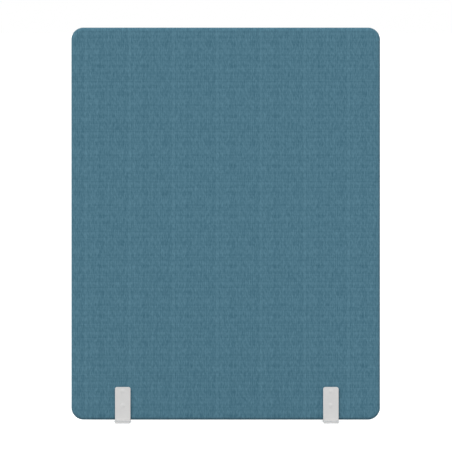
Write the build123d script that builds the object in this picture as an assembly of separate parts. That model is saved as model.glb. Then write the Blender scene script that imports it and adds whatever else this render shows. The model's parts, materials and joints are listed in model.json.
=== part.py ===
from build123d import *
import os

# Desk privacy panel: a fabric-covered acoustic panel standing on two clamp-on steel feet.
# Millimetres. +X is to the right, +Y to the rear, +Z up. The origin is on the desk's surface,
# under the middle of the panel.

# ---- Driving dimensions: panel ----
PANEL_WIDTH = 600.0
PANEL_HEIGHT = 762.0
PANEL_THICKNESS = 25.4
CORNER_RADIUS = 24.0
EDGE_RADIUS = 6.0
FABRIC = 0.7
BOARD = 3.0
STILE_WIDTH = 32.0
BOTTOM_RAIL_WIDTH = 70.0
GROOVE_WIDTH = 3.4
GROOVE_DEPTH = 6.0
SPLINE_RECESS = 0.5
CORE_CLEARANCE = 0.5
DOWEL_RADIUS = 4.0
DOWEL_LENGTH = 36.0
TOP_DOWEL_DEPTHS = (15.0, 25.0)
BOTTOM_DOWEL_HEIGHTS = (20.0, 52.0)

# ---- Driving dimensions: feet ----
LEFT_FOOT_X = -200.0
RIGHT_FOOT_X = 204.5
FOOT_WIDTH = 30.0
FOOT_LENGTH = 200.0
STEEL = 2.5
TAB_TOP = 67.9
TAB_CORNER = 4.0
PLATE_CORNER = 1.0
STEEL_EDGE = 0.4
HANGING_HOLE_RADIUS = 1.25
HANGING_HOLE_Z = 60.0
TENON_WIDTH = 18.0
TENON_DEPTH = 2.0
FLOOR_PAD = 0.5
FLOOR_PAD_WIDTH = 28.0
FLOOR_PAD_LENGTH = 38.0
FLOOR_PAD_Y = 80.0
SOFT_CORNER = 3.0
LINER = 1.0
SEAT_GAP = 0.1
PAD_GAP = 0.2

# ---- Driving dimensions: clamp ----
CLAMP_Z = 32.0
TRAVEL = 4.0
TRAVEL_SPARE = 0.6
GRIP_PAD = 1.5
GRIP_PAD_WIDTH = 26.0
GRIP_PAD_LOW = 8.0
GRIP_PAD_HIGH = 65.0
STUD_HEIGHTS = (32.0, 60.0)
STUD_RADIUS = 3.15
HOLE_FIT = 0.05
DOME_RADIUS = 4.8
DOME_HEIGHT = 0.6
DISC_RADIUS = 13.0
PRESSURE_PLATE = 2.0
PRESSURE_PAD = 1.5
PAD_HOLE_RADIUS = 4.2
THREAD_RADIUS = 2.95
THREAD_CLEARANCE = 0.05
JOURNAL_RADIUS = 2.0
JOURNAL_PROUD = 1.2
END_PLAY = 0.05
CLIP_THICKNESS = 0.6
CLIP_RADIUS = 3.5
CLIP_GROOVE_RADIUS = 1.6
NUT_FLANGE_RADIUS = 6.0
NUT_FLANGE = 1.0
NUT_RADIUS = 4.5
NUT_BULGE_RADIUS = 5.75
NUT_BULGE = 2.5
NUT_BARREL = 3.5
KNOB_STANDOFF = 1.0
KNOB_HUB_RADIUS = 6.5
KNOB_HUB = 3.0
KNOB_RADIUS = 12.0
KNOB_BODY = 10.0
KNOB_EDGE = 1.0
KNOB_LOBES = 8
SCALLOP_RADIUS = 3.4
SCALLOP_CENTRE = 13.6
HEX_ACROSS_FLATS = 10.0
HEX_HEAD = 3.5
HEX_RECESS = 0.5
HEX_CLEARANCE = 0.05

# ---- Worked-out levels ----
BASE_TOP = FLOOR_PAD + STEEL
TENON_BOTTOM = BASE_TOP - TENON_DEPTH
PANEL_BOTTOM = BASE_TOP + LINER + SEAT_GAP
PANEL_MIDDLE = PANEL_BOTTOM + PANEL_HEIGHT / 2
PANEL_TOP = PANEL_BOTTOM + PANEL_HEIGHT
HALF_THICKNESS = PANEL_THICKNESS / 2
FRAME_HALF = HALF_THICKNESS - FABRIC - BOARD
SPLINE_HALF = GROOVE_WIDTH / 2 - FABRIC
GROOVE_INSET = FABRIC + GROOVE_DEPTH
FRAME_LEFT = -PANEL_WIDTH / 2 + FABRIC
FRAME_BOTTOM = PANEL_BOTTOM + FABRIC
FRAME_TOP = PANEL_TOP - FABRIC

FRONT_TAB_Y = -(HALF_THICKNESS + PAD_GAP + GRIP_PAD)
PAD_FACE_Y = HALF_THICKNESS + PAD_GAP
PLATE_FRONT_Y = PAD_FACE_Y + PRESSURE_PAD
PLATE_REAR_Y = PLATE_FRONT_Y + PRESSURE_PLATE
NUT_FACE_Y = PLATE_REAR_Y + TRAVEL + TRAVEL_SPARE
REAR_TAB_Y = NUT_FACE_Y + NUT_FLANGE
NUT_END_Y = REAR_TAB_Y + STEEL + NUT_BULGE + NUT_BARREL
KNOB_FRONT_Y = NUT_END_Y + KNOB_STANDOFF
KNOB_BODY_Y = KNOB_FRONT_Y + KNOB_HUB
KNOB_REAR_Y = KNOB_BODY_Y + KNOB_BODY
HEX_REAR_Y = KNOB_REAR_Y - HEX_RECESS
HEX_FRONT_Y = HEX_REAR_Y - HEX_HEAD


# ---- Shape helpers ----
def upright_slab(inset, y_front, y_back):
    """The panel's rounded outline, drawn in by inset, as a slab from y_front to y_back."""
    outline = RectangleRounded(
        PANEL_WIDTH - 2 * inset, PANEL_HEIGHT - 2 * inset, CORNER_RADIUS - inset
    )
    slab = extrude(outline, y_back - y_front)
    return Pos(0, y_back, PANEL_MIDDLE) * Rot(90, 0, 0) * slab


def soft_fronted_slab(inset, y_front, y_back):
    """An upright slab whose front edge is rounded."""
    slab = upright_slab(inset, y_front, y_back)
    front_edges = slab.faces().sort_by(Axis.Y)[0].edges()
    return fillet(front_edges, EDGE_RADIUS - inset)


def block(x_low, x_high, y_low, y_high, z_low, z_high):
    size = (x_high - x_low, y_high - y_low, z_high - z_low)
    return Pos(x_low, y_low, z_low) * Box(*size, align=(Align.MIN, Align.MIN, Align.MIN))


def rod(radius, y_from, y_to, x, z=CLAMP_Z):
    """A cylinder along +Y."""
    length = y_to - y_from
    cylinder = Cylinder(radius, length, align=(Align.CENTER, Align.CENTER, Align.MIN))
    return Pos(x, y_from, z) * Rot(-90, 0, 0) * cylinder


def prism(outline, y_from, y_to, x, z=CLAMP_Z):
    """A flat outline, drawn in X and Z, pulled along +Y."""
    return Pos(x, y_to, z) * Rot(90, 0, 0) * extrude(outline, y_to - y_from)


def to_rear(shape):
    return mirror(shape, about=Plane.XZ)


# ---- Panel ----
def fabric_cover():
    """The front cloth: the face, the rounded edge and the flange tucked into the groove."""
    outside = soft_fronted_slab(0, -HALF_THICKNESS, -SPLINE_HALF)
    inside = soft_fronted_slab(FABRIC, -HALF_THICKNESS + FABRIC, -GROOVE_WIDTH / 2)
    flange_hole = upright_slab(GROOVE_INSET, -GROOVE_WIDTH / 2, -SPLINE_HALF)
    return outside - inside - flange_hole


def cloth_form():
    """What the two cloths are stretched over: the whole inside, its front and rear edges rounded."""
    front = soft_fronted_slab(FABRIC, -HALF_THICKNESS + FABRIC, 0)
    return front + to_rear(front)


def backing_board():
    """The front board. Its edge is the outer part of the rounding that carries the cloth."""
    return cloth_form() & upright_slab(FABRIC, -HALF_THICKNESS + FABRIC, -FRAME_HALF)


def grooved_blank():
    """The outline of the whole frame, with the groove round its edge."""
    blank = cloth_form() & upright_slab(FABRIC, -FRAME_HALF, FRAME_HALF)
    edge_band = upright_slab(FABRIC, -GROOVE_WIDTH / 2, GROOVE_WIDTH / 2)
    groove_floor = upright_slab(GROOVE_INSET, -GROOVE_WIDTH / 2, GROOVE_WIDTH / 2)
    return blank - (edge_band - groove_floor)


def dowels():
    """Two dowels at each corner joint."""
    heights = [FRAME_TOP - depth for depth in TOP_DOWEL_DEPTHS]
    heights += [FRAME_BOTTOM + height for height in BOTTOM_DOWEL_HEIGHTS]
    joint_x = -FRAME_LEFT - STILE_WIDTH
    pins = []
    for side in (-1, 1):
        for height in heights:
            pin = Rot(0, 90, 0) * Cylinder(DOWEL_RADIUS, DOWEL_LENGTH)
            pins.append(Pos(side * joint_x, 0, height) * pin)
    return pins


def frame_members():
    """The two rails and two stiles, cut from the blank and drilled for the dowels."""
    blank = grooved_blank()
    pins = dowels()
    inner_x = -FRAME_LEFT - STILE_WIDTH
    outer_x = -FRAME_LEFT
    regions = {
        "top_rail": (-inner_x, inner_x, FRAME_TOP - STILE_WIDTH, FRAME_TOP),
        "bottom_rail": (-inner_x, inner_x, FRAME_BOTTOM, FRAME_BOTTOM + BOTTOM_RAIL_WIDTH),
        "left_stile": (-outer_x, -inner_x, FRAME_BOTTOM, FRAME_TOP),
        "right_stile": (inner_x, outer_x, FRAME_BOTTOM, FRAME_TOP),
    }
    members = {}
    for name, (x_low, x_high, z_low, z_high) in regions.items():
        region = block(x_low, x_high, -FRAME_HALF, FRAME_HALF, z_low, z_high)
        member = blank & region
        for pin in pins:
            member -= pin
        members[name] = member
    return members


def acoustic_core():
    """The infill board between rails and stiles."""
    half_width = -FRAME_LEFT - STILE_WIDTH - CORE_CLEARANCE
    z_low = FRAME_BOTTOM + BOTTOM_RAIL_WIDTH + CORE_CLEARANCE
    z_high = FRAME_TOP - STILE_WIDTH - CORE_CLEARANCE
    return block(-half_width, half_width, -FRAME_HALF, FRAME_HALF, z_low, z_high)


def edge_spline():
    """The strip that fills the groove between the two cloths."""
    outside = upright_slab(FABRIC + SPLINE_RECESS, -SPLINE_HALF, SPLINE_HALF)
    return outside - upright_slab(GROOVE_INSET, -SPLINE_HALF, SPLINE_HALF)


def panel_nodes():
    cloth = fabric_cover()
    board = backing_board()
    nodes = frame_members()
    nodes["frame_dowels"] = Compound(children=dowels())
    nodes["acoustic_core"] = acoustic_core()
    nodes["front_backing_board"] = board
    nodes["rear_backing_board"] = to_rear(board)
    nodes["front_fabric_cover"] = cloth
    nodes["rear_fabric_cover"] = to_rear(cloth)
    nodes["edge_spline"] = edge_spline()
    return nodes


# ---- Foot: steel ----
def tenon(x, y_from, z_low, z_high):
    """A tab's tongue, or the slot or weld that goes with it, between two heights."""
    half = TENON_WIDTH / 2
    return block(x - half, x + half, y_from, y_from + STEEL, z_low, z_high)


def base_plate(x):
    """The plate that lies on the desk, slotted for the two tabs' tenons."""
    plate = extrude(RectangleRounded(FOOT_WIDTH, FOOT_LENGTH, PLATE_CORNER), STEEL)
    plate = Pos(x, 0, FLOOR_PAD) * fillet(plate.faces().sort_by(Axis.Z)[-1].edges(), STEEL_EDGE)
    for y_from in (FRONT_TAB_Y - STEEL, REAR_TAB_Y):
        plate -= tenon(x, y_from, FLOOR_PAD, BASE_TOP)
    return plate


def tab(x, y_from, outward, holes):
    """An upright plate with a tenon, holes given as (height, radius). Its outer face has softened edges."""
    height = TAB_TOP - BASE_TOP
    outline = Pos(0, height / 2) * Rectangle(FOOT_WIDTH, height)
    outline = fillet(outline.vertices().group_by(Axis.Y)[-1], TAB_CORNER)
    for hole_z, radius in holes:
        outline -= Pos(0, hole_z - BASE_TOP) * Circle(radius)
    plate = prism(outline, y_from, y_from + STEEL, x, BASE_TOP)
    outer_face = plate.faces().sort_by(Axis.Y)[-1 if outward > 0 else 0]
    rim = outer_face.outer_wire().edges().filter_by(Plane.XZ).sort_by(Axis.Z)[1:]
    return fillet(rim, STEEL_EDGE) + tenon(x, y_from, TENON_BOTTOM, BASE_TOP)


# ---- Foot: soft parts ----
def floor_pads(x):
    pad = extrude(RectangleRounded(FLOOR_PAD_WIDTH, FLOOR_PAD_LENGTH, SOFT_CORNER), FLOOR_PAD)
    return [Pos(x, side * FLOOR_PAD_Y, 0) * pad for side in (-1, 1)]


def edge_liner(x):
    """The strip that the panel's lower edge stands on, between the tabs."""
    y_low = FRONT_TAB_Y + CORE_CLEARANCE
    y_high = REAR_TAB_Y - CORE_CLEARANCE
    strip = extrude(RectangleRounded(GRIP_PAD_WIDTH, y_high - y_low, LINER), LINER)
    return Pos(x, (y_low + y_high) / 2, BASE_TOP) * strip


def front_grip_pad(x):
    """A soft pad behind the front tab, held by two studs with low domed heads."""
    outline = RectangleRounded(GRIP_PAD_WIDTH, GRIP_PAD_HIGH - GRIP_PAD_LOW, SOFT_CORNER)
    middle = (GRIP_PAD_LOW + GRIP_PAD_HIGH) / 2
    pad = prism(outline, FRONT_TAB_Y, FRONT_TAB_Y + GRIP_PAD, x, middle)
    outer_y = FRONT_TAB_Y - STEEL
    ball_radius = (DOME_RADIUS**2 + DOME_HEIGHT**2) / (2 * DOME_HEIGHT)
    ball_y = outer_y - DOME_HEIGHT + ball_radius
    for z in STUD_HEIGHTS:
        pad += rod(STUD_RADIUS, outer_y, FRONT_TAB_Y, x, z)
        cut = rod(DOME_RADIUS + 1, outer_y - DOME_HEIGHT - 1, outer_y, x, z)
        pad += Pos(x, ball_y, z) * Sphere(ball_radius) & cut
    return pad


# ---- Foot: clamp ----
def rivet_nut(x):
    """A threaded insert. Its flange bears on the tab's inner face, its bulge on the outer."""
    bulge_y = REAR_TAB_Y + STEEL
    nut = rod(NUT_FLANGE_RADIUS, NUT_FACE_Y, REAR_TAB_Y, x)
    nut += rod(NUT_RADIUS, REAR_TAB_Y, NUT_END_Y, x)
    nut += rod(NUT_BULGE_RADIUS, bulge_y, bulge_y + NUT_BULGE, x)
    return nut - rod(THREAD_RADIUS + THREAD_CLEARANCE, NUT_FACE_Y, NUT_END_Y, x)


def clip_span():
    """The clip's front and rear faces: just in front of the pressure plate."""
    rear = PLATE_FRONT_Y - END_PLAY
    return rear - CLIP_THICKNESS, rear


def clamp_screw(x):
    """Journal with a clip groove, threaded shank and hexagon head."""
    shoulder_y = PLATE_REAR_Y + END_PLAY
    clip_front, clip_rear = clip_span()
    screw = rod(JOURNAL_RADIUS, PLATE_FRONT_Y - JOURNAL_PROUD, shoulder_y, x)
    screw -= rod(JOURNAL_RADIUS, clip_front, clip_rear, x) - rod(
        CLIP_GROOVE_RADIUS, clip_front, clip_rear, x
    )
    screw += rod(THREAD_RADIUS, shoulder_y, HEX_FRONT_Y, x)
    hexagon = RegularPolygon(HEX_ACROSS_FLATS / 2, 6, major_radius=False)
    return screw + prism(hexagon, HEX_FRONT_Y, HEX_REAR_Y, x)


def retaining_clip(x):
    clip_front, clip_rear = clip_span()
    ring = rod(CLIP_RADIUS, clip_front, clip_rear, x)
    return ring - rod(CLIP_GROOVE_RADIUS, clip_front, clip_rear, x)


def clamp_knob(x):
    """A lobed knob with a hub, pressed onto the screw's head from the front."""
    outline = Circle(KNOB_RADIUS)
    outline -= PolarLocations(SCALLOP_CENTRE, KNOB_LOBES) * Circle(SCALLOP_RADIUS)
    body = prism(outline, KNOB_BODY_Y, KNOB_REAR_Y, x)
    rims = body.faces().sort_by(Axis.Y)
    body = fillet(rims[0].edges() + rims[-1].edges(), KNOB_EDGE)
    hub = rod(KNOB_HUB_RADIUS, KNOB_FRONT_Y, KNOB_BODY_Y, x)
    bore = rod(THREAD_RADIUS + THREAD_CLEARANCE, KNOB_FRONT_Y, HEX_FRONT_Y, x)
    pocket = RegularPolygon(HEX_ACROSS_FLATS / 2 + HEX_CLEARANCE, 6, major_radius=False)
    return body + hub - bore - prism(pocket, HEX_FRONT_Y, KNOB_REAR_Y, x)


def pressure_disc(x, y_from, thickness, hole_radius):
    disc = rod(DISC_RADIUS, y_from, y_from + thickness, x)
    return disc - rod(hole_radius, y_from, y_from + thickness, x)


def foot_nodes(side, x):
    front_outer_y = FRONT_TAB_Y - STEEL
    # Each slot is welded up below the tenon, and ground flush with the plate's underside.
    beads = [tenon(x, y, FLOOR_PAD, TENON_BOTTOM) for y in (front_outer_y, REAR_TAB_Y)]
    journal_hole = JOURNAL_RADIUS + THREAD_CLEARANCE
    front_holes = [(z, STUD_RADIUS + HOLE_FIT) for z in STUD_HEIGHTS]
    rear_holes = [(CLAMP_Z, NUT_RADIUS + HOLE_FIT), (HANGING_HOLE_Z, HANGING_HOLE_RADIUS)]
    nodes = {
        "base_plate": base_plate(x),
        "front_tab": tab(x, front_outer_y, -1, front_holes),
        "rear_tab": tab(x, REAR_TAB_Y, 1, rear_holes),
        "weld_beads": Compound(children=beads),
        "floor_pads": Compound(children=floor_pads(x)),
        "edge_liner": edge_liner(x),
        "front_grip_pad": front_grip_pad(x),
        "rivet_nut": rivet_nut(x),
        "clamp_screw": clamp_screw(x),
        "retaining_clip": retaining_clip(x),
        "clamp_knob": clamp_knob(x),
        "pressure_plate": pressure_disc(x, PLATE_FRONT_Y, PRESSURE_PLATE, journal_hole),
        "pressure_pad": pressure_disc(x, PAD_FACE_Y, PRESSURE_PAD, PAD_HOLE_RADIUS),
    }
    return {f"{side}_{name}": shape for name, shape in nodes.items()}


def main():
    os.makedirs("parts", exist_ok=True)
    nodes = panel_nodes()
    nodes.update(foot_nodes("left", LEFT_FOOT_X))
    nodes.update(foot_nodes("right", RIGHT_FOOT_X))
    for name, shape in nodes.items():
        export_step(shape, f"parts/{name}.step")


main()
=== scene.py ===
"""Desk privacy panel: the looks of the part, in metres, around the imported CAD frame."""
import json
import math

import bmesh
import bpy
import numpy as np
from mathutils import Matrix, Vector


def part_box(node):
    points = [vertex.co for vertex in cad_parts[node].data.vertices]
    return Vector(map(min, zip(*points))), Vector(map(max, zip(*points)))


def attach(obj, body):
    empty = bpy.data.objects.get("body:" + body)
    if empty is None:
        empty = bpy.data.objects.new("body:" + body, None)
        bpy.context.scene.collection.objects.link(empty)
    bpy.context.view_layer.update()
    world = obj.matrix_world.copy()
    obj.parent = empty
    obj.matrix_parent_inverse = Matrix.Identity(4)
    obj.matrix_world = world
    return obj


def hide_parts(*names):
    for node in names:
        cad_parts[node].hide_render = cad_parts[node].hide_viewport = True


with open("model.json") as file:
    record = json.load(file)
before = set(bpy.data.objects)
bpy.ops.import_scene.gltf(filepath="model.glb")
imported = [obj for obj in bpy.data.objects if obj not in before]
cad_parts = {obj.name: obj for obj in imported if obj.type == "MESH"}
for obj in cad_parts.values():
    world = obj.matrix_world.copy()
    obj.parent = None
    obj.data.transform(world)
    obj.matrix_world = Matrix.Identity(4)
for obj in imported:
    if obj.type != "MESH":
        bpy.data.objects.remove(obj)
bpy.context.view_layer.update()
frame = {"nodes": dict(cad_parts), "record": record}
MM = 0.001

# ---- The panel's own measures, read from the frame ----
cloth_low, cloth_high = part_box("front_fabric_cover")
spline_low, spline_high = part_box("edge_spline")
PANEL_LEFT, PANEL_RIGHT = cloth_low.x, cloth_high.x
PANEL_BOTTOM, PANEL_TOP = cloth_low.z, cloth_high.z
HALF_THICKNESS = -cloth_low.y
SPLINE_HALF = spline_high.y
SPLINE_INSET = spline_low.x - cloth_low.x

# ---- Shapes that a box can't give ----
CORNER_RADIUS = 24 * MM
EDGE_RADIUS = 6.0 * MM
CLOTH = 0.6 * MM
TUCK_RADIUS = 0.8 * MM
TUCK_INSETS = (2.4 * MM, 4.4 * MM, 6.6 * MM)

# ---- Cloth mesh and its relief ----
GRID_STEP = 6 * MM
FLAT_INSETS = (24 * MM, 19 * MM, 14.5 * MM, 11 * MM, 8.6 * MM, 7 * MM)
EDGE_STEPS = 9
SIDE_STEPS = 6
TUCK_STEPS = 4
CORNER_STEPS = 54
PLEATS_PER_CORNER = 9
PLEAT_HEIGHT = 0.4 * MM
FACE_WAVE = 0.10 * MM
WAVE_START = 80 * MM
WAVE_RISE = 100 * MM
SEAM_WANDER = 0.15 * MM
GATHER_DEPTH = 5 * MM

# ---- Edge strip ----
STRIP_COLUMNS = 16
STRIP_LINES = 20
STRIP_START = 8
STRIP_GAP = 0.3 * MM

# ---- Cloth pattern ----
REPEAT_ACROSS = 85 * MM
REPEAT_UP = 97 * MM
YARNS_PER_REPEAT = 80
WARP_SLUB = 8.0 * MM
WEFT_SLUB = 14 * MM
MOTTLE_WIDTH = 6 * MM
MOTTLE_LENGTH = 14 * MM
UNEVEN_WIDTH = 2 * MM
UNEVEN_LENGTH = 8 * MM
UNEVEN_DRIFT = 7.7 * MM
WANDER = 0.7
WANDER_LENGTH = 11 * MM

# ---- How much each cause lightens or darkens the cloth ----
# The streaks' pairs are for a crossing with the weft on top, and with the warp on top.
WARP_STREAKS = (0.79, 1.15)
WEFT_STREAKS = (0.38, 0.085)
WARP_OWN = 0.26
WEFT_OWN = 0.2
MOTTLE_SHADE = 0.38
UNEVEN_SHADE = 0.72
# Painted shade: the yarns' crowns lighter and the gaps between yarns darker, standing in for light on the
# rounded yarns.
CROWN_PAINTED_SHADE = 0.5
CROWN_MIDDLE = 0.68
FIBRE_SHADE = 0.4


# ---------------------------------------------------------------- mesh helpers
def new_object(name, vertices, faces, smooth_degrees=None):
    """An object from points in metres, in the part's own frame, its faces turned outward."""
    mesh = bpy.data.meshes.new(name)
    mesh.from_pydata([tuple(v) for v in vertices], [], [tuple(f) for f in faces])
    mesh.validate()
    outward = bmesh.new()
    outward.from_mesh(mesh)
    bmesh.ops.recalc_face_normals(outward, faces=outward.faces)
    outward.to_mesh(mesh)
    outward.free()
    obj = bpy.data.objects.new(name, mesh)
    bpy.context.scene.collection.objects.link(obj)
    if smooth_degrees is not None:
        mesh.shade_smooth()
        mesh.set_sharp_from_angle(angle=math.radians(smooth_degrees))
    return obj


def dress(obj, material, body, slot, *nodes):
    """Gives a new piece its material and its body, and hides the CAD nodes it stands for; the slot is not
    used.
    """
    obj.data.materials.append(material)
    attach(obj, body)
    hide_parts(*nodes)
    return obj


def rings_to_faces(ring_count, ring_size):
    """Quads between each closed ring of points and the next."""
    faces = []
    for ring in range(ring_count - 1):
        a, b = ring * ring_size, (ring + 1) * ring_size
        for i in range(ring_size):
            j = (i + 1) % ring_size
            faces.append((a + i, a + j, b + j, b + i))
    return faces


def quarter_turns(steps):
    """Angles from 0 to a quarter turn."""
    return [math.pi / 2 * step / steps for step in range(steps + 1)]


def turned(name, axis_x, axis_z, rings, steps, smooth_degrees=35):
    """A closed piece round an axis along Y, from rings of (radius, y). A radius may depend on the angle."""
    vertices = []
    for radius_at, y in rings:
        for i in range(steps):
            angle = 2 * math.pi * i / steps
            radius = radius_at(angle) if callable(radius_at) else radius_at
            vertices.append((axis_x + radius * math.cos(angle), y, axis_z + radius * math.sin(angle)))
    faces = rings_to_faces(len(rings), steps)
    if rings[0] == rings[-1]:
        # The section comes back to its start, so the last ring's points are the first one's.
        seam = (len(rings) - 1) * steps
        faces = [tuple(v - seam if v >= seam else v for v in face) for face in faces]
        vertices = vertices[:seam]
    else:
        for ring in (0, len(rings) - 1):
            faces.append(tuple(range(ring * steps, (ring + 1) * steps)))
    return new_object(name, vertices, faces, smooth_degrees)


# ---------------------------------------------------------------- cloth covers
def cloth_profile():
    """The cloth's cross-section from the flat face to the groove: rows of (inset, depth, path)."""
    side_end = HALF_THICKNESS - SPLINE_HALF - TUCK_RADIUS
    points = [(inset, 0.0) for inset in FLAT_INSETS]
    for turn in quarter_turns(EDGE_STEPS):
        points.append((EDGE_RADIUS * (1 - math.sin(turn)), EDGE_RADIUS * (1 - math.cos(turn))))
    for step in range(1, SIDE_STEPS + 1):
        points.append((0.0, EDGE_RADIUS + (side_end - EDGE_RADIUS) * step / SIDE_STEPS))
    for turn in quarter_turns(TUCK_STEPS)[1:]:
        inset = TUCK_RADIUS * (1 - math.cos(turn))
        points.append((inset, side_end + TUCK_RADIUS * math.sin(turn)))
    for inset in TUCK_INSETS:
        points.append((inset, side_end + TUCK_RADIUS))
    rows, path = [], 0.0
    for i, point in enumerate(points):
        if i:
            path += math.dist(point, points[i - 1])
        rows.append((*point, path))
    return rows


def lining_profile(rows):
    """The cloth's inner face, a thickness inside the outer one, from the groove back to the face."""
    inner = []
    for i, (inset, depth, path) in enumerate(rows):
        before, after = rows[max(i - 1, 0)], rows[min(i + 1, len(rows) - 1)]
        along = (after[0] - before[0], after[1] - before[1])
        length = math.hypot(*along)
        inward = (along[1] / length, -along[0] / length)
        inner.append((inset + CLOTH * inward[0], depth + CLOTH * inward[1], path))
    return inner[::-1]


def outline_marks(columns, lines):
    """Marks round the panel: (base x, base z, outward x, outward z, corner share or None)."""
    left, right = PANEL_LEFT + CORNER_RADIUS, PANEL_RIGHT - CORNER_RADIUS
    bottom, top = PANEL_BOTTOM + CORNER_RADIUS, PANEL_TOP - CORNER_RADIUS
    sides = [
        ((left, bottom), (right, bottom), columns, -90),
        ((right, bottom), (right, top), lines, 0),
        ((right, top), (left, top), columns, 90),
        ((left, top), (left, bottom), lines, 180),
    ]
    marks = []
    for (x0, z0), (x1, z1), count, facing in sides:
        out_x, out_z = math.cos(math.radians(facing)), math.sin(math.radians(facing))
        for i in range(count + 1):
            share = i / count
            marks.append((x0 + (x1 - x0) * share, z0 + (z1 - z0) * share, out_x, out_z, None))
        for i in range(1, CORNER_STEPS):
            share = i / CORNER_STEPS
            turn = math.radians(facing + 90 * share)
            marks.append((x1, z1, math.cos(turn), math.sin(turn), share))
    return marks


def pleat(share, seed):
    """How high the gathered cloth stands at a place round a corner, from 0 to 1.

    The odd numbers here and in face_wave only keep the waves out of step.
    """
    if share is None:
        return 0.0
    fade = min(1.0, 6 * min(share, 1 - share))
    wave = math.sin(math.pi * PLEATS_PER_CORNER * share + 0.5 * math.sin(9 * share + seed))
    return fade * abs(wave) ** 1.4 * (0.75 + 0.25 * math.sin(23 * share + 2 * seed))


def face_wave(x, z, seed):
    """The board's slight unevenness under the cloth, from -1 to 1, and none where the feet hold it."""
    wave = math.sin(29 * x + 3 * math.sin(11 * z + seed)) * math.sin(23 * z + 2 * math.sin(17 * x - seed))
    fade = min(1.0, max(0.0, (z - PANEL_BOTTOM - WAVE_START) / WAVE_RISE))
    return wave * fade


def cloth_cover(name, facing, seed):
    """One cloth: a grid for the flat face, rings over the edge into the groove, and back as a lining."""
    width = PANEL_RIGHT - PANEL_LEFT - 2 * CORNER_RADIUS
    height = PANEL_TOP - PANEL_BOTTOM - 2 * CORNER_RADIUS
    columns, lines = round(width / GRID_STEP), round(height / GRID_STEP)
    marks = outline_marks(columns, lines)
    outer = cloth_profile()
    profile = outer + lining_profile(outer)
    vertices, flats, faces = [], [], []

    def add(x, depth, z, flat_x, flat_z):
        vertices.append((x, facing * (HALF_THICKNESS - depth), z))
        flats.append((flat_x, flat_z, 0.0))
        return len(vertices) - 1

    def grid(depth):
        index = {}
        for line in range(lines + 1):
            z = PANEL_BOTTOM + CORNER_RADIUS + height * line / lines
            for column in range(columns + 1):
                x = PANEL_LEFT + CORNER_RADIUS + width * column / columns
                relief = FACE_WAVE * face_wave(x, z, seed) if depth == 0 else 0.0
                index[column, line] = add(x, depth - relief, z, x, z)
        for line in range(lines):
            for column in range(columns):
                corners = ((0, 0), (1, 0), (1, 1), (0, 1))
                faces.append(tuple(index[column + i, line + j] for i, j in corners))
        return index

    def grid_ring(index):
        """The grid's own points under each mark: a corner's marks all share one point."""
        ring = []
        for base_x, base_z, _, _, _ in marks:
            column = round((base_x - PANEL_LEFT - CORNER_RADIUS) / width * columns)
            line = round((base_z - PANEL_BOTTOM - CORNER_RADIUS) / height * lines)
            ring.append(index[column, line])
        return ring

    previous = grid_ring(grid(0.0))
    for row, (inset, depth, path) in enumerate(profile[1:-1], start=1):
        is_outer = row < len(outer)
        ring = []
        gather = min(1.0, max(0.0, (depth - EDGE_RADIUS) / GATHER_DEPTH)) if is_outer else 0.0
        for base_x, base_z, out_x, out_z, share in marks:
            reach = CORNER_RADIUS - inset + PLEAT_HEIGHT * gather * pleat(share, seed)
            wander = SEAM_WANDER * gather * math.sin(61 * base_x + 47 * base_z + seed)
            relief = 0.0
            if is_outer and depth == 0:
                place = (base_x + out_x * reach, base_z + out_z * reach)
                relief = FACE_WAVE * face_wave(*place, seed) * inset / CORNER_RADIUS
            x, z = base_x + out_x * reach, base_z + out_z * reach
            level = depth - relief - wander * (inset < TUCK_RADIUS)
            ring.append(add(x, level, z, base_x + out_x * path, base_z + out_z * path))
        join_rings(faces, previous, ring)
        previous = ring
    join_rings(faces, previous, grid_ring(grid(CLOTH)))
    obj = new_object(name, vertices, faces, smooth_degrees=60)
    # Where each point lay in the flat cloth, moved by the seed so that no two cloths are alike.
    flat = obj.data.attributes.new("cloth_flat", "FLOAT_VECTOR", "POINT")
    shifted = np.array(flats) + np.array((seed, seed / 2, 0.0))
    flat.data.foreach_set("vector", shifted.astype(np.float32).ravel())
    return obj


def join_rings(faces, inner, outer):
    """Quads between two rings of point numbers, or triangles where a ring stays on one point."""
    count = len(inner)
    for i in range(count):
        j = (i + 1) % count
        corners = [inner[i], inner[j], outer[j], outer[i]]
        kept = [v for k, v in enumerate(corners) if v != corners[k - 1]]
        if len(kept) >= 3:
            faces.append(tuple(kept))


def cloth_cut():
    """The flat size each cloth was cut to: the face, and each edge's path into the groove."""
    path = cloth_profile()[-1][2]
    width = PANEL_RIGHT - PANEL_LEFT - 2 * CORNER_RADIUS + 2 * path
    height = PANEL_TOP - PANEL_BOTTOM - 2 * CORNER_RADIUS + 2 * path
    return width, height


# ---------------------------------------------------------------- edge spline
def spline_strip():
    """The extruded strip in the groove: a crown outside, barbs inside, its ends meeting under the panel.

    The section is in millimetres inward, and in shares of its half width across.
    """
    crown = [(0.15, -0.9), (0.0, -0.55), (-0.06, 0.0), (0.0, 0.55), (0.15, 0.9)]
    barbs = [(0.9, 0.98), (0.95, 0.6), (2.4, 0.6), (2.9, 0.95)]
    barbs += [(3.0, 0.6), (4.3, 0.6), (4.8, 0.95), (5.4, 0.3)]
    section = [(inset * MM, y * SPLINE_HALF) for inset, y in crown + barbs]
    section += [(inset * MM, -y * SPLINE_HALF) for inset, y in reversed(barbs)]
    marks = outline_marks(STRIP_COLUMNS, STRIP_LINES)
    marks = marks[STRIP_START:] + marks[: STRIP_START + 1]
    vertices = []
    for number, (base_x, base_z, out_x, out_z, _) in enumerate(marks):
        shift = STRIP_GAP if number == 0 else -STRIP_GAP if number == len(marks) - 1 else 0.0
        for inset, y in section:
            reach = CORNER_RADIUS - SPLINE_INSET - inset
            vertices.append((base_x + shift + out_x * reach, y, base_z + out_z * reach))
    size = len(section)
    faces = rings_to_faces(len(marks), size)
    faces.append(tuple(range(size)))
    faces.append(tuple(range((len(marks) - 1) * size, len(marks) * size)))
    return new_object("edge_strip", vertices, faces, smooth_degrees=40)


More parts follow.
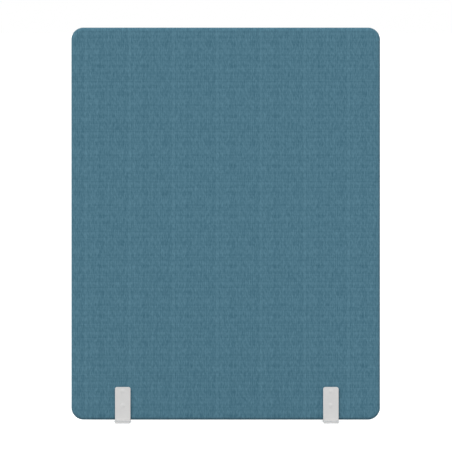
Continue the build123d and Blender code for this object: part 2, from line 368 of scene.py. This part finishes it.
# ---------------------------------------------------------------- clamp pieces
def hexagon_radius(across_flats):
    """A hexagon's radius as a function of the angle."""

    def radius(angle):
        return across_flats / 2 / math.cos((angle % (math.pi / 3)) - math.pi / 6)

    return radius


def clamp_screw(side, axis_x, axis_z):
    """The M6 screw: grooved journal, right-hand rolled thread and chamfered hexagon head."""
    low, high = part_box(f"{side}_clamp_screw")
    _, plate_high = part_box(f"{side}_pressure_plate")
    clip_low, clip_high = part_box(f"{side}_retaining_clip")
    across_flats, head_height, end_play, chamfer = high.z - low.z, 3.5 * MM, 0.05 * MM, 0.3 * MM
    head_front = high.y - head_height
    shoulder = plate_high.y + end_play
    major, minor, journal, groove = 2.95 * MM, 2.42 * MM, 2.0 * MM, 1.6 * MM
    pitch, steps, rows_per_pitch = 1.0 * MM, 48, 8
    hexagon = hexagon_radius(across_flats)
    rings = [(journal - chamfer, low.y), (journal, low.y + chamfer), (journal, clip_low.y)]
    rings += [(groove, clip_low.y), (groove, clip_high.y), (journal, clip_high.y), (journal, shoulder)]

    def thread(y):
        """The radius at one height: flat crests and roots with slopes between, fading at both ends."""

        def radius(angle):
            phase = ((y - shoulder) / pitch + angle / (2 * math.pi)) % 1.0
            height = min(1.0, max(0.0, 1.35 - 2.7 * abs(phase - 0.5) * 1.25))
            ends = min(1.0, (y - shoulder) / pitch, (head_front - y) / pitch)
            return minor + (major - minor) * height * max(0.0, ends)

        return radius

    rows = round((head_front - shoulder) / pitch * rows_per_pitch)
    for k in range(rows + 1):
        y = shoulder + (head_front - shoulder) * k / rows
        rings.append((thread(y), y))
    chamfer_radius = across_flats / 2 * 0.94
    chamfer_slope = math.tan(math.radians(30))

    def under(angle):
        """The head's underside, its corners drawn in to just past the flats."""
        return min(hexagon(angle), across_flats / 2 * 1.02)

    rings += [(under, head_front), (hexagon, head_front + 0.35 * MM)]
    corners_end = high.y - (hexagon(0) - chamfer_radius) * chamfer_slope
    rings += [(hexagon, corners_end), (chamfer_radius, high.y), (chamfer_radius * 0.8, high.y)]
    rings += [(chamfer_radius * 0.72, high.y - 0.25 * MM), (chamfer_radius * 0.2, high.y - 0.3 * MM)]
    return turned(f"{side}_screw", axis_x, axis_z, rings, steps)


def rivet_nut(side, axis_x, axis_z):
    """The threaded insert: thin flange, knurled barrel and the bulge that the rivet tool raised."""
    low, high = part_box(f"{side}_rivet_nut")
    tab_low, tab_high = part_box(f"{side}_rear_tab")
    barrel, bulge, flange, bore = 4.5 * MM, 5.75 * MM, (high.z - low.z) / 2, 3.0 * MM
    bulge_half, bulge_steps, flange_edge, bore_chamfer = 1.25 * MM, 8, 0.25 * MM, 0.4 * MM

    def knurled(angle):
        """Thirty-six shallow flutes."""
        return barrel - 0.12 * MM * (0.5 + 0.5 * math.cos(36 * angle))

    rings = [(bore + bore_chamfer, low.y), (flange - flange_edge, low.y), (flange, low.y + flange_edge)]
    rings += [(flange, tab_low.y), (barrel, tab_low.y), (barrel, tab_high.y)]
    for k in range(bulge_steps + 1):
        turn = math.pi * k / bulge_steps
        y = tab_high.y + bulge_half * (1 - math.cos(turn))
        rings.append((barrel + (bulge - barrel) * math.sin(turn), y))
    rings += [(knurled, tab_high.y + 2.8 * MM), (knurled, high.y - 0.3 * MM), (barrel - 0.35 * MM, high.y)]
    rings += [(bore + bore_chamfer, high.y), (bore, high.y - bore_chamfer)]
    rings += [(bore, low.y + bore_chamfer), (bore + bore_chamfer, low.y)]
    return turned(f"{side}_nut", axis_x, axis_z, rings, 144)


def clamp_knob(side, axis_x, axis_z):
    """The moulded knob: eight rounded lobes, a hub, and a pocket round the screw's head."""
    low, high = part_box(f"{side}_clamp_knob")
    top = (high.z - low.z) / 2
    lobes, steps, edge_steps = 8, 256, 6
    hub, bore, edge, lobe_depth = 6.5 * MM, 3.0 * MM, 1.5 * MM, 1.7 * MM
    body_front = low.y + 3.0 * MM
    pocket_floor = high.y - 4.0 * MM
    dish = high.y - 0.6 * MM
    screw_low, screw_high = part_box(f"{side}_clamp_screw")
    pocket = hexagon_radius(screw_high.z - screw_low.z + 0.12 * MM)

    def lobed(offset):
        """The lobed outline drawn in by offset, its hollows less deep as it shrinks."""

        def radius(angle):
            wave = 0.5 - 0.5 * math.cos(lobes * angle)
            return top - offset - lobe_depth * (1 - offset / (4 * MM)) * (1 - wave) ** 1.6

        return radius

    rings = [(bore, low.y), (hub - 0.5 * MM, low.y), (hub, low.y + 0.5 * MM), (hub, body_front - 0.7 * MM)]
    rings += [(hub + 0.25 * MM, body_front - 0.2 * MM), (hub + 0.8 * MM, body_front)]
    for turn in quarter_turns(edge_steps):
        rings.append((lobed(edge * (1 - math.sin(turn))), body_front + edge * (1 - math.cos(turn))))
    for turn in quarter_turns(edge_steps):
        rings.append((lobed(edge * (1 - math.cos(turn))), high.y - edge * (1 - math.sin(turn))))
    rings += [(8.2 * MM, high.y), (7.9 * MM, high.y - 0.15 * MM), (7.5 * MM, high.y - 0.5 * MM)]
    rings += [(6.6 * MM, dish), (pocket, dish), (pocket, pocket_floor), (bore, pocket_floor), (bore, low.y)]
    return turned(f"{side}_knob", axis_x, axis_z, rings, steps, smooth_degrees=40)


def pressure_disc(side, axis_x, axis_z):
    """The steel plate behind the pad, with a rolled edge and a shallow recess round the screw."""
    low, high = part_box(f"{side}_pressure_plate")
    radius, hole = (high.z - low.z) / 2, 2.05 * MM
    recess = high.y - 0.25 * MM
    rings = [(hole, low.y), (radius - 0.4 * MM, low.y), (radius, low.y + 0.4 * MM)]
    rings += [(radius, high.y - 0.6 * MM), (radius - 0.18 * MM, high.y - 0.18 * MM)]
    rings += [(radius - 0.6 * MM, high.y), (5.2 * MM, high.y)]
    rings += [(4.8 * MM, recess), (3.4 * MM, recess), (hole, recess), (hole, low.y)]
    return turned(f"{side}_disc", axis_x, axis_z, rings, 96)


def pressure_pad(side, axis_x, axis_z):
    """The rubber disc that meets the cloth, with moulded rings on its face."""
    low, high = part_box(f"{side}_pressure_pad")
    radius, hole = (high.z - low.z) / 2, 4.2 * MM
    ridges = 5
    valley = low.y + 0.25 * MM
    rings = [(hole, high.y), (hole, low.y + 0.2 * MM)]
    for k in range(ridges):
        ridge = hole + (radius - 0.6 * MM - hole) * (k + 0.5) / ridges
        rings += [(ridge - 0.5 * MM, valley), (ridge - 0.2 * MM, low.y)]
        rings += [(ridge + 0.2 * MM, low.y), (ridge + 0.5 * MM, valley)]
    rings += [(radius - 0.25 * MM, valley), (radius, low.y + 0.5 * MM), (radius, high.y), (hole, high.y)]
    return turned(f"{side}_pad", axis_x, axis_z, rings, 96)


# ---------------------------------------------------------------- material helpers
class Nodes:
    """A material's node tree, with short calls for the nodes used here."""

    def __init__(self, name):
        self.material = bpy.data.materials.new(name)
        self.material.use_nodes = True
        self.tree = self.material.node_tree
        self.shader = self.tree.nodes["Principled BSDF"]

    def add(self, kind, **settings):
        node = self.tree.nodes.new(kind)
        for key, value in settings.items():
            setattr(node, key, value)
        return node

    def put(self, value, socket):
        """Feeds a socket from another one, or sets it to a number."""
        if isinstance(value, bpy.types.NodeSocket):
            self.tree.links.new(value, socket)
        else:
            socket.default_value = value

    def math(self, operation, a, b=0.0, c=0.0, clamp=False):
        node = self.add("ShaderNodeMath", operation=operation, use_clamp=clamp)
        for value, socket in zip((a, b, c), node.inputs):
            self.put(value, socket)
        return node.outputs[0]

    def object_place(self):
        return self.add("ShaderNodeTexCoord").outputs["Object"]

    def split(self, vector):
        node = self.add("ShaderNodeSeparateXYZ")
        self.put(vector, node.inputs[0])
        return node.outputs[0], node.outputs[1], node.outputs[2]

    def join(self, x, y, z=0.0):
        node = self.add("ShaderNodeCombineXYZ")
        for value, socket in zip((x, y, z), node.inputs):
            self.put(value, socket)
        return node.outputs[0]

    def scaled(self, vector, factors):
        node = self.add("ShaderNodeVectorMath", operation="MULTIPLY")
        self.put(vector, node.inputs[0])
        node.inputs[1].default_value = factors
        return node.outputs[0]

    def noise(self, vector, scale=1.0, detail=2.0, roughness=0.5, w=None):
        node = self.add("ShaderNodeTexNoise", noise_dimensions="3D" if w is None else "4D")
        self.put(vector, node.inputs["Vector"])
        if w is not None:
            self.put(w, node.inputs["W"])
        node.inputs["Scale"].default_value = scale
        node.inputs["Detail"].default_value = detail
        node.inputs["Roughness"].default_value = roughness
        return node.outputs["Fac"]

    def blend(self, share, low, high):
        """A number that runs from low to high as share goes from 0 to 1."""
        return self.math("MULTIPLY_ADD", share, high - low, low)

    def mix_numbers(self, share, a, b):
        node = self.add("ShaderNodeMix", data_type="FLOAT")
        self.put(share, node.inputs[0])
        self.put(a, node.inputs[2])
        self.put(b, node.inputs[3])
        return node.outputs[0]

    def colour(self, share, dark, light):
        node = self.add("ShaderNodeMix", data_type="RGBA", clamp_factor=True)
        self.put(share, node.inputs[0])
        self.put((*dark, 1.0), node.inputs[6])
        self.put((*light, 1.0), node.inputs[7])
        return node.outputs[2]

    def bump(self, height, distance, strength=1.0):
        node = self.add("ShaderNodeBump")
        node.inputs["Strength"].default_value = strength
        node.inputs["Distance"].default_value = distance
        self.put(height, node.inputs["Height"])
        self.put(node.outputs[0], self.shader.inputs["Normal"])

    def set(self, **values):
        """Plain values on the shader's own sockets: set(Metallic=1.0)."""
        for name, value in values.items():
            self.shader.inputs[name.replace("_", " ")].default_value = value

    def feed(self, **sockets):
        for name, value in sockets.items():
            self.put(value, self.shader.inputs[name.replace("_", " ")])


# ---------------------------------------------------------------- materials
def repeating_noise(n, across, up, width, length, detail):
    """Noise that repeats every REPEAT_ACROSS along its first direction and REPEAT_UP along its second."""
    a, b = circle_place(n, across, REPEAT_ACROSS, width)
    c, d = circle_place(n, up, REPEAT_UP, length)
    return n.noise(n.join(a, b, c), detail=detail, w=d)


def uneven_noise(n, across, up):
    """Short upright flecks that never repeat, read on a slant so that the noise's own grid can't be seen."""
    x = n.math("MULTIPLY", across, 1 / UNEVEN_WIDTH)
    y = n.math("MULTIPLY", up, 1 / UNEVEN_LENGTH)
    drift = n.math("MULTIPLY", n.math("ADD", across, up), 1 / UNEVEN_DRIFT)
    return n.noise(n.join(x, y, drift), detail=0.5)


def circle_place(n, along, repeat, grain):
    """Two numbers that run once round a circle in each repeat, with the noise's grain as their unit."""
    turn = n.math("MULTIPLY", along, 2 * math.pi / repeat)
    radius = repeat / (2 * math.pi * grain)
    a = n.math("MULTIPLY", n.math("COSINE", turn), radius)
    b = n.math("MULTIPLY", n.math("SINE", turn), radius)
    return a, b


def yarn_shade(n, number, along, repeat, length, seed):
    """One yarn's shade along its length, from 0 to 1, and its own overall shade, unlike its neighbours'."""
    own_number = n.math("FLOORED_MODULO", number, float(YARNS_PER_REPEAT))
    own = n.add("ShaderNodeTexWhiteNoise", noise_dimensions="1D")
    n.put(n.math("ADD", own_number, seed), own.inputs["W"])
    own = own.outputs["Value"]
    a, b = circle_place(n, along, repeat, length)
    streaks = n.noise(n.join(a, b, n.math("MULTIPLY", own, 900.0)), detail=0.8)
    return streaks, own


def add_cause(n, shade, cause, middle, share):
    """The shade with a share of a cause added, which counts from its own middle."""
    return n.math("MULTIPLY_ADD", n.math("SUBTRACT", cause, middle), share, shade)


def panel_cloth():
    """Plain-woven slub cloth: each yarn has its own shade, which also changes along its length."""
    n = Nodes("panel_cloth")
    place = n.add("ShaderNodeAttribute", attribute_name="cloth_flat").outputs["Vector"]
    across, up, _ = n.split(place)
    warp_wander = n.blend(repeating_noise(n, across, up, WANDER_LENGTH, WANDER_LENGTH, 0.5), 0.0, WANDER)
    weft_wander = n.blend(repeating_noise(n, up, across, WANDER_LENGTH, WANDER_LENGTH, 0.5), 0.0, WANDER)
    warp = n.math("MULTIPLY_ADD", across, YARNS_PER_REPEAT / REPEAT_ACROSS, warp_wander)
    weft = n.math("MULTIPLY_ADD", up, YARNS_PER_REPEAT / REPEAT_UP, weft_wander)
    warp_number, weft_number = n.math("FLOOR", warp), n.math("FLOOR", weft)
    warp_streak, warp_own = yarn_shade(n, warp_number, up, REPEAT_UP, WARP_SLUB, 11.0)
    weft_streak, weft_own = yarn_shade(n, weft_number, across, REPEAT_ACROSS, WEFT_SLUB, 211.0)
    mottle = repeating_noise(n, across, up, MOTTLE_WIDTH, MOTTLE_LENGTH, 1.0)
    uneven = uneven_noise(n, across, up)

    # Which yarn is on top at this crossing, and how it is rounded across and along.
    warp_on_top = n.math("PINGPONG", n.math("ADD", warp_number, weft_number), 1.0)
    warp_round = n.math("SINE", n.math("MULTIPLY", n.math("FRACT", warp), math.pi))
    weft_round = n.math("SINE", n.math("MULTIPLY", n.math("FRACT", weft), math.pi))
    over = n.mix_numbers(warp_on_top, weft_round, warp_round)
    along = n.mix_numbers(warp_on_top, warp_round, weft_round)
    crown = n.math("MULTIPLY", n.math("POWER", over, 0.6), n.blend(along, 0.72, 1.0))
    fibres = n.noise(fibre_place(n, across, up, warp_on_top), detail=1.0)

    warp_part = n.math("MULTIPLY", n.math("SUBTRACT", warp_streak, 0.5), n.blend(warp_on_top, *WARP_STREAKS))
    warp_part = add_cause(n, warp_part, warp_own, 0.5, WARP_OWN)
    weft_part = n.math("MULTIPLY", n.math("SUBTRACT", weft_streak, 0.5), n.blend(warp_on_top, *WEFT_STREAKS))
    weft_part = add_cause(n, weft_part, weft_own, 0.5, WEFT_OWN)
    top_shade = n.math("ADD", warp_part, weft_part)

    shade = add_cause(n, n.math("ADD", top_shade, 0.5), mottle, 0.5, MOTTLE_SHADE)
    shade = add_cause(n, shade, uneven, 0.5, UNEVEN_SHADE)
    # Painted shade from the yarns' rounding: crowns lighter, the gaps between yarns darker.
    shade = add_cause(n, shade, crown, CROWN_MIDDLE, CROWN_PAINTED_SHADE)
    shade = add_cause(n, shade, fibres, 0.5, FIBRE_SHADE)
    n.feed(Base_Color=n.colour(shade, (0.0386, 0.1184, 0.170), (0.1044, 0.230, 0.2994)))
    n.feed(Roughness=n.blend(top_shade, 0.92, 0.78))
    n.set(Sheen_Weight=0.16, Sheen_Roughness=0.4, Sheen_Tint=(0.72, 0.86, 0.92, 1.0))
    n.set(Specular_IOR_Level=0.2)
    height = n.math("MULTIPLY_ADD", fibres, 0.25, crown)
    n.bump(height, 0.00025, 0.6)
    return n.material


def fibre_place(n, across, up, warp_on_top):
    """Where to read the fibres: fine across the yarn on top, long and slightly twisted along it."""
    fine, long, twist = 8000.0, 900.0, 0.35
    twisted_across = n.math("MULTIPLY_ADD", up, twist, across)
    twisted_up = n.math("MULTIPLY_ADD", across, twist, up)
    weft_x, warp_x = n.math("MULTIPLY", across, long), n.math("MULTIPLY", twisted_across, fine)
    weft_y, warp_y = n.math("MULTIPLY", twisted_up, fine), n.math("MULTIPLY", up, long)
    return n.join(n.mix_numbers(warp_on_top, weft_x, warp_x), n.mix_numbers(warp_on_top, weft_y, warp_y))


# Below, a noise's scale is in grains per metre, and a bump's distance in metres.
def powder_coat():
    """Light grey powder coat: fine orange peel, faint speckle and a few scuffs."""
    n = Nodes("powder_coat")
    place = n.object_place()
    peel = n.noise(place, scale=1500.0, detail=2.0)
    cloud = n.noise(place, scale=60.0, detail=3.0)
    scuff = n.noise(n.scaled(place, (900.0, 120.0, 900.0)), detail=2.0, roughness=0.6)
    scuffed = n.math("MULTIPLY", n.math("SUBTRACT", scuff, 0.66), 5.0, clamp=True)
    shade = n.math("MULTIPLY_ADD", peel, 0.3, n.math("MULTIPLY", cloud, 0.7))
    n.feed(Base_Color=n.colour(shade, (0.59, 0.583, 0.577), (0.655, 0.65, 0.645)))
    n.feed(Roughness=n.math("MULTIPLY_ADD", scuffed, 0.18, n.blend(cloud, 0.40, 0.52)))
    n.set(Specular_IOR_Level=0.4)
    n.bump(peel, 0.00006, 0.5)
    return n.material


def zinc():
    """Bright zinc plate with fine lines from turning and rolling."""
    n = Nodes("zinc_plate")
    place = n.object_place()
    lines = n.noise(n.scaled(place, (700.0, 9000.0, 700.0)), detail=2.0)
    cloud = n.noise(place, scale=220.0, detail=3.0)
    n.feed(Base_Color=n.colour(cloud, (0.47, 0.48, 0.50), (0.72, 0.71, 0.68)))
    n.feed(Roughness=n.blend(lines, 0.24, 0.46))
    n.set(Metallic=1.0)
    n.bump(lines, 0.00002, 0.6)
    return n.material


def grained(name, dark, light, rough, grain_scale, grain_height):
    """Moulded plastic or rubber: a spark-eroded grain, with a slight shift of shade."""
    n = Nodes(name)
    place = n.object_place()
    grain = n.noise(place, scale=grain_scale, detail=2.0, roughness=0.6)
    cloud = n.noise(place, scale=grain_scale / 14, detail=3.0)
    shade = n.math("MULTIPLY_ADD", grain, 0.4, n.math("MULTIPLY", cloud, 0.6))
    n.feed(Base_Color=n.colour(shade, dark, light))
    n.feed(Roughness=n.blend(grain, *rough))
    n.bump(grain, grain_height, 0.7)
    return n.material


def frame_wood():
    """Softwood inside the panel: broad bands and fine pores, both closer through the frame's thickness."""
    n = Nodes("frame_wood")
    place = n.object_place()
    rings = n.noise(n.scaled(place, (38.0, 260.0, 38.0)), detail=3.0)
    pores = n.noise(n.scaled(place, (180.0, 2600.0, 180.0)), detail=2.0)
    shade = n.math("MULTIPLY_ADD", pores, 0.35, n.math("MULTIPLY", rings, 0.65))
    n.feed(Base_Color=n.colour(shade, (0.36, 0.21, 0.10), (0.70, 0.52, 0.32)))
    n.feed(Roughness=n.blend(rings, 0.55, 0.75))
    n.bump(pores, 0.0001, 0.4)
    return n.material


def matted_board(name, dark, light, fibre_scale):
    """Pressed fibre, for the acoustic core and the backing boards."""
    n = Nodes(name)
    place = n.object_place()
    drawn_out = n.scaled(place, (fibre_scale, fibre_scale, fibre_scale / 5))
    fibres = n.noise(drawn_out, detail=4.0, roughness=0.65)
    clumps = n.noise(place, scale=fibre_scale / 20, detail=3.0)
    shade = n.math("MULTIPLY_ADD", fibres, 0.6, n.math("MULTIPLY", clumps, 0.4))
    n.feed(Base_Color=n.colour(shade, dark, light))
    n.feed(Roughness=n.blend(fibres, 0.85, 1.0))
    n.bump(fibres, 0.0004, 0.6)
    return n.material


materials = {
    "panel_fabric": panel_cloth(),
    "powder_coated_steel": powder_coat(),
    "zinc_steel": zinc(),
    "knob_plastic": grained(
        "knob_plastic", (0.012, 0.012, 0.013), (0.03, 0.03, 0.032), (0.42, 0.6), 2400.0, 0.00005
    ),
    "clear_grey_rubber": grained(
        "grey_rubber", (0.60, 0.595, 0.59), (0.66, 0.655, 0.65), (0.45, 0.6), 1500.0, 0.00003
    ),
    "black_rubber": grained(
        "black_rubber", (0.012, 0.012, 0.012), (0.028, 0.028, 0.028), (0.65, 0.85), 1500.0, 0.00006
    ),
    "spline_plastic": grained(
        "spline_plastic", (0.022, 0.055, 0.075), (0.035, 0.08, 0.105), (0.5, 0.65), 1200.0, 0.00004
    ),
    "frame_wood": frame_wood(),
    "core_felt": matted_board("core_felt", (0.34, 0.34, 0.32), (0.50, 0.50, 0.47), 900.0),
    "fibre_board": matted_board("fibre_board", (0.24, 0.16, 0.09), (0.46, 0.34, 0.22), 1400.0),
}

# ---------------------------------------------------------------- the pieces
for part in frame["record"]["subparts"]:
    node = frame["nodes"][part["node"]]
    for material_slot in node.material_slots:
        material_slot.material = materials[part["material_slot"]]

cut = cloth_cut()
for name, node, facing, seed in (
    ("front_cloth", "front_fabric_cover", -1, 0.0),
    ("rear_cloth", "rear_fabric_cover", 1, 3.7),
):
    cloth = cloth_cover(name, facing, seed)
    dress(cloth, materials["panel_fabric"], "panel", "panel_fabric", node)

dress(spline_strip(), materials["spline_plastic"], "panel", "spline_plastic", "edge_spline")

for side in ("left", "right"):
    screw_low, screw_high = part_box(f"{side}_clamp_screw")
    axis_x, axis_z = (screw_low.x + screw_high.x) / 2, (screw_low.z + screw_high.z) / 2
    foot, pad, screw = f"{side}_foot", f"{side}_pressure_pad", f"{side}_clamp_screw"
    for made, body, slot, node in (
        (rivet_nut, foot, "zinc_steel", "rivet_nut"),
        (clamp_screw, screw, "zinc_steel", "clamp_screw"),
        (clamp_knob, screw, "knob_plastic", "clamp_knob"),
        (pressure_disc, pad, "zinc_steel", "pressure_plate"),
        (pressure_pad, pad, "black_rubber", "pressure_pad"),
    ):
        dress(made(side, axis_x, axis_z), materials[slot], body, slot, f"{side}_{node}")

# ---------------------------------------------------------------- studio
FLOOR_RADIUS = 60.0
FLOOR_STEPS = 64
FLOOR_BOUNCE = 0.5
FLOOR_SEEN = 0.8
FLOOR_GLOW_SEEN = 0.6
SKY_STRENGTH = 0.52
SKY_SEEN = 1.0
# Each sun: name, azimuth (0 from the front, 90 from the right), elevation, strength, spread; in degrees.
SUNS = (("key", -25, 45, 0.655, 50), ("fill", 40, 15, 0.12, 60), ("back", 160, 32, 0.44, 50))
FRAME_WIDTH = 0.8782
CAMERA_LENS = 1200.0
SENSOR_WIDTH = 36.0
CAMERA_ELEVATION = 1.45
AIM_RIGHT = 0.0006
AIM_DROP = 0.0043


def studio_floor():
    """A plain pale floor, wide enough to reach behind the object in every view, and white to the camera."""
    points = []
    for i in range(FLOOR_STEPS):
        turn = 2 * math.pi * i / FLOOR_STEPS
        points.append((FLOOR_RADIUS * math.cos(turn), FLOOR_RADIUS * math.sin(turn), 0.0))
    floor = new_object("studio_floor", points, [tuple(range(FLOOR_STEPS))])
    n = Nodes("studio_floor")
    n.set(Roughness=1.0, Specular_IOR_Level=0.0, Emission_Color=(1.0, 1.0, 1.0, 1.0))
    seen = n.add("ShaderNodeLightPath").outputs["Is Camera Ray"]
    n.feed(Base_Color=n.colour(seen, (FLOOR_BOUNCE,) * 3, (FLOOR_SEEN,) * 3))
    n.feed(Emission_Strength=n.blend(seen, 0.0, FLOOR_GLOW_SEEN))
    floor.data.materials.append(n.material)


def soft_sun(name, azimuth, elevation, strength, spread):
    """Even light from far away, softened by its spread."""
    data = bpy.data.lights.new(name, "SUN")
    data.energy = strength * math.pi
    data.angle = math.radians(spread)
    light = bpy.data.objects.new(name, data)
    bpy.context.scene.collection.objects.link(light)
    light.rotation_euler = (math.radians(90 - elevation), 0.0, math.radians(azimuth))


def studio_light():
    """A pale surround, and three soft suns: a key in front, a weak fill and one behind."""
    world = bpy.data.worlds.new("studio")
    bpy.context.scene.world = world
    world.use_nodes = True
    nodes, links = world.node_tree.nodes, world.node_tree.links
    nodes.clear()
    out = nodes.new("ShaderNodeOutputWorld")
    pick = nodes.new("ShaderNodeMixShader")
    ray = nodes.new("ShaderNodeLightPath")
    light, seen = nodes.new("ShaderNodeBackground"), nodes.new("ShaderNodeBackground")
    light.inputs["Strength"].default_value = SKY_STRENGTH
    seen.inputs["Strength"].default_value = SKY_SEEN
    for background in (light, seen):
        background.inputs["Color"].default_value = (1.0, 1.0, 1.0, 1.0)
    links.new(ray.outputs["Is Camera Ray"], pick.inputs[0])
    links.new(light.outputs[0], pick.inputs[1])
    links.new(seen.outputs[0], pick.inputs[2])
    links.new(pick.outputs[0], out.inputs["Surface"])
    for sun in SUNS:
        soft_sun(*sun)


def studio_camera():
    """A very long lens, a little above the panel's middle, so that the feet's tops just show."""
    data = bpy.data.cameras.new("camera")
    data.sensor_width = SENSOR_WIDTH
    data.lens = CAMERA_LENS
    distance = FRAME_WIDTH * CAMERA_LENS / SENSOR_WIDTH
    data.clip_end = 4 * distance
    tilt = math.radians(CAMERA_ELEVATION)
    middle = (PANEL_BOTTOM + PANEL_TOP) / 2 - AIM_DROP
    camera = bpy.data.objects.new("camera", data)
    bpy.context.scene.collection.objects.link(camera)
    back_y, back_z = -distance * math.cos(tilt), distance * math.sin(tilt)
    camera.location = (AIM_RIGHT, back_y - HALF_THICKNESS, middle + back_z)
    camera.rotation_euler = (math.pi / 2 - tilt, 0.0, 0.0)
    bpy.context.scene.camera = camera


studio_floor()
studio_light()
studio_camera()
bpy.context.scene.view_settings.view_transform = "Standard"
